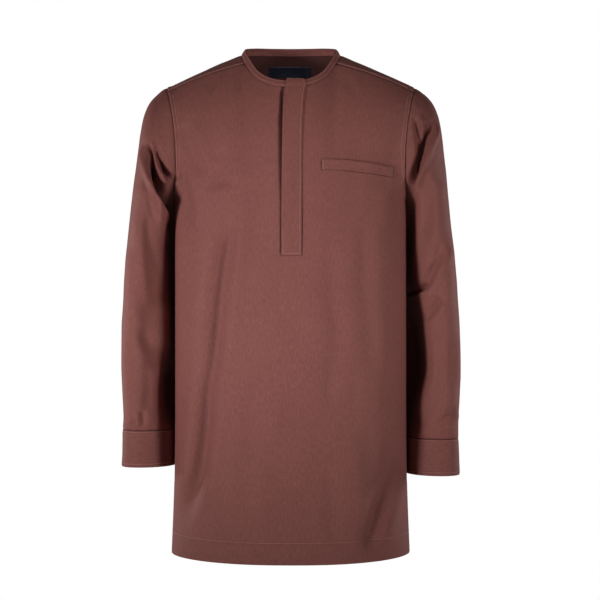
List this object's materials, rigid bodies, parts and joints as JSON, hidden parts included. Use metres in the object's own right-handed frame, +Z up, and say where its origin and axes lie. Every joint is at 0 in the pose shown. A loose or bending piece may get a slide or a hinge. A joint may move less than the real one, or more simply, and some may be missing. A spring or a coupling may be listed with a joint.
{
  "type": "collarless long-sleeved tunic, filled out as worn",
  "caption": "Long collarless tunic as worn and hollow, with a narrow neckband, a concealed chest placket, a welt pocket and cuffed sleeves.",
  "frame": {"origin": "between the shoulders, in the middle of the neck opening at the height of the sides of the neck, where the wearer's shoulders hold the garment up", "axes": "+Z up, the front faces -Y, +X is the wearer's left"},
  "size_m": [0.6004, 0.2531, 0.9053],
  "materials": {
    "suiting": "fine brown twill suiting with a faint upright rib and a soft sheen",
    "woven_label": "navy woven label, blank",
    "button": "dark brown, dyed to match, satin"
  },
  "bodies": {
    "root": {"front": "suiting", "back": "suiting", "yoke": "suiting", "neckband": "suiting", "placket_over": "suiting", "placket_under": "suiting", "pocket_welt": "suiting", "label": "woven_label", "sleeve_left": "suiting", "cuff_left": "suiting", "sleeve_placket_left": "suiting", "cuff_button_left": "button", "sleeve_right": "suiting", "cuff_right": "suiting", "sleeve_placket_right": "suiting", "cuff_button_right": "button"}
  },
  "joints": []
}
